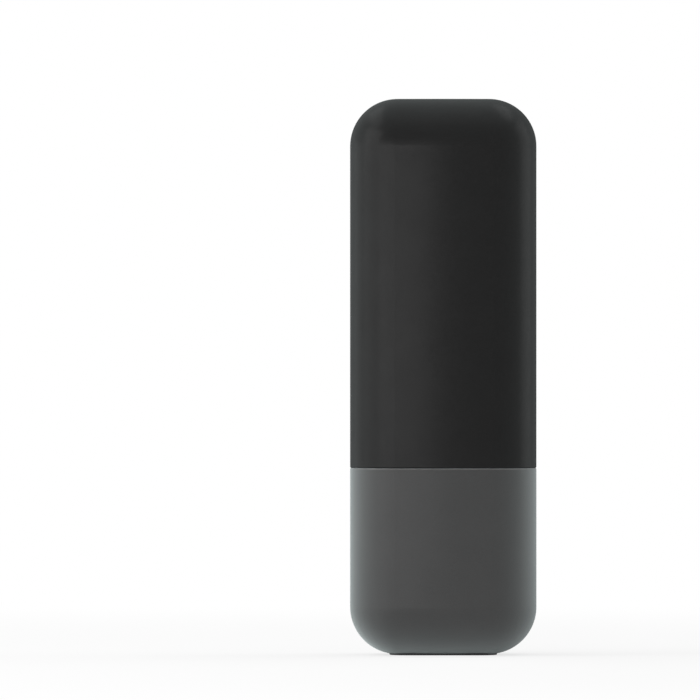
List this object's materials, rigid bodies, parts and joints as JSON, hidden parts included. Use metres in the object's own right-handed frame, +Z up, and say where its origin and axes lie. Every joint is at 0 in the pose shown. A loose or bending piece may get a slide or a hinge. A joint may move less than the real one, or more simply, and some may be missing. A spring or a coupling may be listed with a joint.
{
  "type": "razor travel case",
  "caption": "Tall round-cornered travel case for a razor: a matte black cover pulls straight up off a satin grey base with a handle socket.",
  "frame": {"origin": "under the middle of the foot, on the surface that the case stands on", "axes": "+Z runs up the case from foot to top, +X to the right and -Y towards the front, as the picture shows it"},
  "size_m": [0.0554, 0.038, 0.165],
  "materials": {
    "cover_plastic": "soft-touch matte black, very fine moulded grain",
    "base_plastic": "satin dark grey, very fine moulded grain",
    "inner_plastic": "satin charcoal",
    "holder_plastic": "matte charcoal, lightly textured",
    "soft_rubber": "matte black soft rubber",
    "magnet_metal": "nickel plate",
    "screw_steel": "zinc-plated steel"
  },
  "bodies": {
    "base": {"base_shell": "base_plastic", "base_collar": "inner_plastic", "friction_ring": "soft_rubber", "base_magnet_left": "magnet_metal", "base_magnet_right": "magnet_metal", "razor_holder": "holder_plastic", "handle_grip": "soft_rubber", "handle_stop": "soft_rubber", "holder_screws": "screw_steel", "foot_pad": "soft_rubber"},
    "cover": {"cover_shell": "cover_plastic", "cover_ring": "inner_plastic", "cover_magnet_left": "magnet_metal", "cover_magnet_right": "magnet_metal", "head_pad": "soft_rubber"}
  },
  "joints": [
    {"name": "cover_lift", "type": "slide", "parent": "base", "child": "cover", "axis": [0, 0, 1], "range_m": [0, 0.11]}
  ]
}
